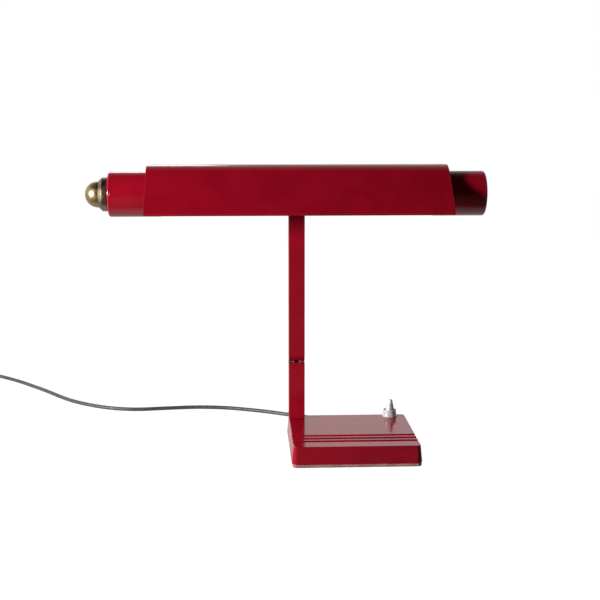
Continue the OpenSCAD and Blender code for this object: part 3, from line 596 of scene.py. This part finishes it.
@dataclass
class Studio:
    """Camera, lights and a white floor."""

    eye: Point = (-0.1332, -1.3923, 0.3999)
    yaw_deg: float = 2.855
    pitch_deg: float = 8.675
    lens_mm: float = 70.0
    floor_side: float = 14.0
    floor_turn: tuple[float, float] = (-0.12, 0.06)
    floor_dark: float = 0.0
    floor_white: float = 0.48
    floor_glow: float = 0.98
    turn_back: tuple[float, float] = (-0.45, 0.35)
    back_white: float = 0.80
    front_dark: float = 0.0
    overhead: tuple[float, float] = (0.42, 0.98)
    key_watts: float = 56.0
    back_watts: float = 6.0

    def camera(self) -> None:
        """The camera."""
        data = bpy.data.cameras.new("camera")
        data.lens = self.lens_mm
        data.sensor_width = 36.0
        camera = bpy.data.objects.new("camera", data)
        camera.location = self.eye
        camera.rotation_euler = (math.radians(90 - self.pitch_deg), 0.0, math.radians(-self.yaw_deg))
        bpy.context.scene.collection.objects.link(camera)
        bpy.context.scene.camera = camera

    def floor(self) -> None:
        """A floor that looks white, and that the lamp reflects as dark in front and white behind."""
        mesh = bpy.data.meshes.new("floor")
        half = self.floor_side / 2
        corners = [(-half, -half, 0), (half, -half, 0), (half, half, 0), (-half, half, 0)]
        mesh.from_pydata(corners, [], [(0, 1, 2, 3)])
        floor = bpy.data.objects.new("floor", mesh)
        bpy.context.scene.collection.objects.link(floor)
        coat = Coating("studio_floor")
        split = coat.node("SeparateXYZ")
        coat.link(coat.place, split.inputs[0])
        depth = coat.ramp(split.outputs["Y"], *self.floor_turn, self.floor_dark, self.floor_white)
        seen = coat.node("LightPath").outputs["Is Camera Ray"]
        glow = coat.node("Mix")
        coat.link(seen, glow.inputs["Factor"])
        coat.link(depth, glow.inputs["A"])
        glow.inputs["B"].default_value = self.floor_glow
        coat.link(glow.outputs["Result"], coat.shader.inputs["Emission Strength"])
        coat.set(Emission_Color=(1, 1, 1, 1), Base_Color=(0.12, 0.12, 0.12, 1))
        coat.set(Roughness=0.9, Specular_IOR_Level=0.0)
        mesh.materials.append(coat.material)

    def world(self) -> None:
        """White surroundings behind the lamp and to its sides, dark in front of it and overhead."""
        world = bpy.data.worlds.new("studio")
        world.use_nodes = True
        bpy.context.scene.world = world
        tree = world.node_tree
        way = tree.nodes.new("ShaderNodeTexCoord")
        split = tree.nodes.new("ShaderNodeSeparateXYZ")
        tree.links.new(way.outputs["Generated"], split.inputs[0])
        depth = tree.nodes.new("ShaderNodeMapRange")
        depth.interpolation_type = "SMOOTHSTEP"
        limits = ("From Min", "From Max", "To Min", "To Max")
        for key, number in zip(limits, (*self.turn_back, self.front_dark, self.back_white)):
            depth.inputs[key].default_value = number
        tree.links.new(split.outputs["Y"], depth.inputs["Value"])
        height = tree.nodes.new("ShaderNodeMapRange")
        for key, number in zip(limits, (*self.overhead, 1.0, 0.0)):
            height.inputs[key].default_value = number
        tree.links.new(split.outputs["Z"], height.inputs["Value"])
        both = tree.nodes.new("ShaderNodeMath")
        both.operation = "MULTIPLY"
        tree.links.new(depth.outputs["Result"], both.inputs[0])
        tree.links.new(height.outputs["Result"], both.inputs[1])
        seen = tree.nodes.new("ShaderNodeLightPath")
        choice = tree.nodes.new("ShaderNodeMix")
        tree.links.new(seen.outputs["Is Camera Ray"], choice.inputs["Factor"])
        tree.links.new(both.outputs["Value"], choice.inputs["A"])
        choice.inputs["B"].default_value = 1.0
        tree.links.new(choice.outputs["Result"], tree.nodes["Background"].inputs["Strength"])
        tree.nodes["Background"].inputs["Color"].default_value = (1, 1, 1, 1)

    def lamp(self, name: str, place: Point, aim: Point, size: float, watts: float) -> None:
        """A square soft light.

        Args:
            name: its name.
            place: where it stands.
            aim: what it points at.
            size: its side.
            watts: its power.
        """
        data = bpy.data.lights.new(name, "AREA")
        data.size = size
        data.energy = watts
        light = bpy.data.objects.new(name, data)
        light.location = place
        light.rotation_mode = "QUATERNION"
        light.rotation_quaternion = (Vector(aim) - Vector(place)).to_track_quat("-Z", "Y")
        bpy.context.scene.collection.objects.link(light)

    def build(self) -> None:
        """Sets up the studio."""
        bpy.context.scene.view_settings.view_transform = "Standard"
        self.camera()
        self.floor()
        self.world()
        self.lamp("key", (-1.60, -0.72, 0.50), (-0.05, 0.06, 0.2), 0.36, self.key_watts)
        self.lamp("back", (-0.6, 1.9, 1.3), (-0.05, 0.05, 0.1), 0.8, self.back_watts)


# ---- the cord ----


@dataclass
class Flex:
    """The mains cord, its coil, tie, strain relief and plug."""

    diameter: float = 5.2 * MM
    length: float = 1.8
    exit: Point = (-0.020, 0.101, 0.0119)
    route_mm: tuple[Point, ...] = (
        (-20, 78, 12), (-20, 90, 12), (-20, 101, 11.9), (-20.5, 111, 10.4), (-23, 121, 7.2),
        (-27.5, 131, 4.2), (-34.5, 141, 2.8), (-44, 150, 2.7), (-57, 159, 2.7), (-73, 168, 2.7),
        (-99, 184, 2.7), (-126, 197.5, 2.7), (-152, 208, 2.7), (-179, 214, 2.7), (-206, 215.5, 2.7),
        (-246, 211, 2.7), (-281, 207, 2.7), (-313, 214, 2.7), (-342, 230, 2.7), (-372, 255, 2.7),
        (-395, 282, 2.7), (-428, 329, 2.7), (-451, 359, 2.7), (-472, 386, 2.7), (-495, 412, 2.7),
        (-516, 433, 2.8), (-535, 452, 3.1),
    )  # fmt: skip
    tail_mm: tuple[Point, ...] = (
        (-620, 447, 8.9), (-621.5, 436, 8.4), (-622, 424, 7.4), (-622, 412, 6.7), (-622, 400, 6.5),
        (-622, 388, 6.5),
    )  # fmt: skip
    coil_centre: tuple[float, float] = (-0.583, 0.4495)
    coil_radius: float = 31 * MM
    coil_low: float = 3.8 * MM
    entry_deg: float = 40.0
    leave_deg: float = 165.0
    whole_turns: int = 5
    shift_deg: float = 70.0
    shifts: tuple[tuple[float, int], ...] = ((285, -1), (645, -1), (1230, 1), (1590, 1))
    climb_deg: float = 945.0
    step_deg: float = 20.0

    def coil_point(self, turned_deg: float) -> Vector:
        """Where the cord lies in the coil after it has turned that far."""
        columns = 1 + sum(way * ease_in_out((turned_deg - at) / self.shift_deg) for at, way in self.shifts)
        radius = self.coil_radius + self.diameter * columns
        height = self.coil_low + self.diameter * ease_in_out((turned_deg - self.climb_deg) / self.shift_deg)
        angle = math.radians(self.entry_deg + turned_deg)
        middle = Vector((*self.coil_centre, 0.0))
        return middle + Vector((radius * math.cos(angle), radius * math.sin(angle), height))

    def centreline(self) -> list[Vector]:
        """The cord's whole way: over the table, round the coil and on to the plug."""
        full = self.leave_deg + 360 * self.whole_turns - self.entry_deg
        count = int(full / self.step_deg)
        points = [Vector(p) * MM for p in self.route_mm]
        points += [self.coil_point(full * k / count) for k in range(count + 1)]
        points += [Vector(p) * MM for p in self.tail_mm]
        return curve_through(points, 5)

    def cord(self) -> bpy.types.Object:
        """The cord as one curve."""
        data = bpy.data.curves.new("cord", "CURVE")
        data.dimensions = "3D"
        way = self.centreline()
        spline = data.splines.new("POLY")
        spline.points.add(len(way) - 1)
        for point, place in zip(spline.points, way):
            point.co = (*place, 1.0)
        data.bevel_depth = self.diameter / 2
        data.bevel_resolution = 5
        data.use_fill_caps = True
        data.materials.append(Stock.of(Stock.sheath))
        made = bpy.data.objects.new("cord", data)
        bpy.context.scene.collection.objects.link(made)
        spline.use_smooth = True
        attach(made, Body.BASE.value)
        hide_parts("cord_tube", "cord_coil", "cord_end")
        return made

    def plug(self) -> bpy.types.Object:
        """A flat two-pin plug with grip ribs, its cord end pointing back along +Y."""
        low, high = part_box("plug_body")
        centre = (low + high) / 2
        long, half_w, half_t = high.y - low.y, (high.x - low.x) / 2, (high.z - low.z) / 2
        shoulder, ribs, rib_count, rib = 0.30, (0.36, 0.72), 6, 0.35 * MM
        neck, nose, nose_shrink, steps = 4.8 * MM, 0.95, 0.06, 64
        rings = []
        for k in range(steps + 1):
            t = k / steps
            swell = ease_in_out(t / shoulder) ** 0.8
            wave = math.cos(math.tau * rib_count * (t - ribs[0]) / (ribs[1] - ribs[0]))
            ridge = rib * (0.5 - 0.5 * wave) if ribs[0] < t < ribs[1] else 0.0
            past_nose = max(0.0, (t - nose) / (1 - nose))
            end = math.sqrt(max(0.0, 1 - past_nose**2)) * nose_shrink + (1 - nose_shrink)
            wide = (neck + (half_w - neck) * swell) * end - ridge
            thick = (neck + (half_t - neck) * swell) * end - ridge * 0.5
            outline = rounded_box(wide, thick, min(wide, thick) * 0.96, 8)
            rings.append([Vector((centre.x + x, high.y - t * long, centre.z + z)) for x, z in outline])
        return piece(lofted("plug_body", rings), "plug", Stock.plug, Body.BASE, "plug_body")

    def build(self) -> None:
        """Lays the cord with all that is on it."""
        cord = self.cord()
        plug = self.plug()
        keep(["plug_pins"], Stock.nickel, Body.BASE, 0.0)
        keep(["coil_tie"], Stock.rubber, Body.BASE, 0.3)
        keep(["cord_relief"], Stock.rubber, Body.BASE, 0.2)


# ---- the lamp ----


@dataclass
class Foot:
    """The weighted base with its felt, plate and wiring."""

    edge_mm: float = 0.9
    felt_levels: int = 6
    felt_fray_mm: float = 0.22

    def felt(self) -> None:
        """The pad, its cut edge bulging and fraying a little."""
        low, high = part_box("base_felt")
        outline = rounded_box(high.x, high.y, 5 * MM, 12)
        dense = []
        for (x0, y0), (x1, y1) in zip(outline, outline[1:] + outline[:1]):
            count = max(1, round(math.hypot(x1 - x0, y1 - y0) / (1.2 * MM)))
            dense += [(x0 + (x1 - x0) * k / count, y0 + (y1 - y0) * k / count) for k in range(count)]
        rings = []
        for level in range(self.felt_levels + 1):
            t = level / self.felt_levels
            z = low.z + (high.z - low.z) * t
            tuck = 0.6 * MM * abs(2 * t - 1) ** 3
            ring = []
            for x, y in dense:
                fray = noise.noise(Vector((x, y, z)) / (1.1 * MM)) * self.felt_fray_mm * MM
                scale = 1 - (tuck + 0.25 * MM - fray) / max(abs(x), abs(y))
                ring.append(Vector((x * scale, y * scale, z)))
            rings.append(ring)
        piece(lofted("base_felt", rings), "felt_pad", Stock.felt, Body.BASE, "base_felt")

    def build(self) -> None:
        """Builds the base."""
        piece(eased("base_casting", self.edge_mm, 3), "base_block", Stock.cast_red, Body.BASE, "base_casting")
        self.felt()
        plated = ["base_plate", "base_plate_screws", "cord_clamp_screws", "foot_washer"]
        keep(plated, Stock.zinc, Body.BASE, 0.15)
        keep(["cord_clamp"], Stock.phenolic, Body.BASE, 0.3)
        keep(["terminal_block"], Stock.clay, Body.BASE, 0.3)
        keep(["terminal_screws"], Stock.brass, Body.BASE, 0.0)
        keep(["base_leads"], Stock.lead, Body.BASE, 0.0)
        keep(["foot_slip_washer"], Stock.brass, Body.BASE, 0.1)


@dataclass
class Toggle:
    """The toggle switch on the base."""

    collar_steps: int = 8
    collar_tall: float = 9.2 * MM
    lean_deg: float = 5.0

    def collar(self) -> None:
        """The collar: a short skirt, a waisted cone and a rolled lip round the lever's well."""
        low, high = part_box("switch_collar")
        centre = Vector(((low.x + high.x) / 2, (low.y + high.y) / 2, low.z))
        foot, tall = (high.x - low.x) / 2, self.collar_tall
        well, lip, nut, bushing = 6.9 * MM, 0.7 * MM, 7.7 * MM, 6.1 * MM
        heel, well_floor, nut_roof = 0.5 * MM, 3.6 * MM, 2.6 * MM
        waist = (foot - 1.0 * MM, tall * 0.52)
        profile = [(nut, 0.0), (foot - heel, 0.0)]
        profile += arc((foot - heel, heel), heel, -90, 0, 4)
        profile += [(foot, 0.9 * MM), (foot - 0.35 * MM, 1.3 * MM), waist, (well + 2 * lip, tall - lip)]
        profile += arc((well + lip, tall - lip), lip, 0, 180, self.collar_steps)
        profile += [(well, well_floor), (bushing, well_floor), (bushing, nut_roof), (nut, nut_roof)]
        mesh = turned("switch_collar", profile, centre, Vector((0, 0, 1)))
        piece(mesh, "toggle_collar", Stock.white, Body.BASE, "switch_collar")

    def lever(self) -> None:
        """The lever: a ball, a tapering stalk and a round tip, leaning right at rest."""
        joint = next(j for j in frame["joints"] if j["name"] == "switch_throw")
        pivot = Vector(joint["pos_m"])
        lean = math.radians(self.lean_deg)
        axis = Vector((math.sin(lean), 0, math.cos(lean)))
        ball, tip, reach = 6.2 * MM, 2.7 * MM, 13.7 * MM
        rod, rod_end, rod_top = 1.8 * MM, -14.0 * MM, -5.93 * MM
        profile = [(0.0, rod_end), (rod, rod_end), (rod, rod_top)]
        profile += arc((0.0, 0.0), ball, -70, 8, 16)
        profile += [(4.62 * MM, 6.2 * MM), (3.54 * MM, 10.4 * MM)]
        profile += arc((0.0, reach), tip, -12, 90, 10)[:-1] + [(0.0, reach + tip)]
        mesh = turned("switch_lever", profile, pivot, axis, 64)
        piece(mesh, "toggle_lever", Stock.white, Body.LEVER, "switch_lever")

    def build(self) -> None:
        """Builds the switch."""
        self.collar()
        self.lever()
        keep(["switch_body"], Stock.phenolic, Body.BASE, 0.3)
        keep(["switch_tags"], Stock.brass, Body.BASE, 0.0)
        keep(["switch_nut", "lever_pin"], Stock.zinc, Body.BASE, 0.1)


@dataclass
class Stem:
    """The jointed square stem."""

    edge_mm: float = 0.12

    def build(self) -> None:
        """Builds both arms of the stem."""
        keep(["foot_plug", "lower_tube", "knee_tongue"], Stock.sheet_red, Body.LOWER_ARM, self.edge_mm)
        keep(["foot_stud", "foot_nut"], Stock.zinc, Body.LOWER_ARM, 0.1)
        keep(["lower_lead"], Stock.lead, Body.LOWER_ARM, 0.0)
        painted = ["knee_fork", "upper_tube", "head_saddle", "knee_screw"]
        keep(painted, Stock.sheet_red, Body.UPPER_ARM, self.edge_mm)
        keep(["knee_friction_washers"], Stock.brass, Body.UPPER_ARM, 0.0)
        keep(["upper_lead"], Stock.lead, Body.UPPER_ARM, 0.0)
        keep(["head_nut"], Stock.zinc, Body.UPPER_ARM, 0.2)


@dataclass
class Head:
    """The tube with its end caps, the strip lamp and the knob."""

    cap_rim: float = 4 * MM
    cap_round: float = 2.5 * MM
    sides: int = 144

    def cap(self, node: str, name: str, outwards: int, bore: float) -> None:
        """One end cap.

        Args:
            node: the frame's node.
            name: the piece's name.
            outwards: -1 at the left end and 1 at the right.
            bore: the radius of the hole in its face, or 0.
        """
        low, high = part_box(node)
        radius = (high.z - low.z) / 2
        face = low.x if outwards < 0 else high.x
        centre = Vector((face, (low.y + high.y) / 2, (low.z + high.z) / 2))
        spigot = radius - 1.1 * MM
        crown = 0.35 * MM
        profile = [(bore, crown * 0.2), (radius * 0.55, crown * 0.25), (radius - self.cap_round, crown * 0.6)]
        bend = (radius - self.cap_round, self.cap_round + crown * 0.5)
        profile += arc(bend, self.cap_round, -88, 0, 12)[1:]
        chamfer, inner, inside, deep = 0.2 * MM, spigot - 0.9 * MM, 1.8 * MM, high.x - low.x
        profile += [(radius, self.cap_rim - chamfer), (radius - chamfer, self.cap_rim)]
        profile += [(spigot, self.cap_rim), (spigot, deep), (inner, deep), (inner, inside), (bore, inside)]
        mesh = turned(node, profile, centre, Vector((-outwards, 0, 0)), self.sides)
        piece(mesh, name, Stock.sheet_red, Body.UPPER_ARM, node)

    def ring(self) -> None:
        """The dark brass ring behind the knob, with a bead, a land and a chamfer."""
        low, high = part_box("knob_ring")
        centre = Vector((high.x, (low.y + high.y) / 2, (low.z + high.z) / 2))
        radius, deep = (high.z - low.z) / 2, high.x - low.x
        bore, small, step, bead = 4.1 * MM, 17.6 * MM, 1.2 * MM, 0.6 * MM
        profile = [(bore, 0.0), (radius - step, 0.0), (radius - step, 1.0 * MM), (radius - bead, 1.3 * MM)]
        profile += arc((radius - bead, 1.9 * MM), bead, -60, 0, 4)
        profile += arc((radius - 0.7 * MM, deep - 4.6 * MM), 0.7 * MM, 0, 48, 4)
        profile += arc((small - 0.3 * MM, deep - 0.5 * MM), 0.5 * MM, 45, 90, 3)
        profile += [(bore, deep)]
        mesh = turned("knob_ring", profile, centre, Vector((-1, 0, 0)), self.sides)
        piece(mesh, "knob_collar", Stock.olive_brass, Body.UPPER_ARM, "knob_ring")

    def dome(self) -> None:
        """The polished brass dome that closes the head's left end."""
        low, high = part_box("knob_dome")
        centre = Vector((high.x, (low.y + high.y) / 2, (low.z + high.z) / 2))
        radius, deep = (high.z - low.z) / 2, high.x - low.x
        bore, hole = 4.0 * MM, 12.5 * MM
        profile = [(bore, 0.0), (radius - 0.4 * MM, 0.0), (radius, 0.4 * MM)]
        profile += arc((0.0, deep - radius), radius, 0, 90, 40)[:-1]
        profile.append((0.0, deep))
        outline = [(0.0, hole), (bore, hole), *profile]
        mesh = turned("knob_dome", outline, centre, Vector((-1, 0, 0)), self.sides)
        piece(mesh, "knob", Stock.brass, Body.KNOB, "knob_dome")

    def build(self) -> None:
        """Builds the head."""
        piece(eased("head_tube", 0.2), "head_shell", Stock.sheet_red, Body.UPPER_ARM, "head_tube")
        self.cap("left_cap", "left_end_cap", -1, 4.1 * MM)
        self.cap("right_cap", "right_end_cap", 1, 0.0)
        self.ring()
        self.dome()
        keep(["knob_stud"], Stock.brass, Body.UPPER_ARM, 0.0)
        keep(["left_holder", "right_holder"], Stock.clay, Body.UPPER_ARM, 0.4)
        keep(["holder_screws"], Stock.zinc, Body.UPPER_ARM, 0.3)
        keep(["contact_springs"], Stock.brass, Body.UPPER_ARM, 0.0)
        keep(["head_leads"], Stock.lead, Body.UPPER_ARM, 0.0)
        keep(["lamp_glass"], Stock.glass, Body.UPPER_ARM, 0.0)
        keep(["lamp_ferrules"], Stock.ferrule, Body.UPPER_ARM, 0.2)
        keep(["lamp_filament"], Stock.tungsten, Body.UPPER_ARM, 0.0)


@dataclass
class Reflector:
    """The folded shade with its clips and rivets."""

    edge_mm: float = 0.3
    corner_deg: float = 45.0

    def build(self) -> None:
        """Builds the shade."""
        sheet = eased("shade", self.edge_mm, 2, self.corner_deg)
        piece(sheet, "shade_sheet", Stock.sheet_red, Body.SHADE, "shade")
        keep(["shade_rivets"], Stock.sheet_red, Body.SHADE, 0.1)
        keep(["shade_clips"], Stock.spring, Body.SHADE, 0.2)


def main() -> None:
    """Builds the studio and the lamp."""
    logging.basicConfig(level=logging.INFO, format="%(name)s %(message)s")
    Studio().build()
    for assembly in (Flex(), Foot(), Toggle(), Stem(), Head(), Reflector()):
        LOG.info("building %s", type(assembly).__name__)
        assembly.build()


if __name__ == "__main__":
    main()
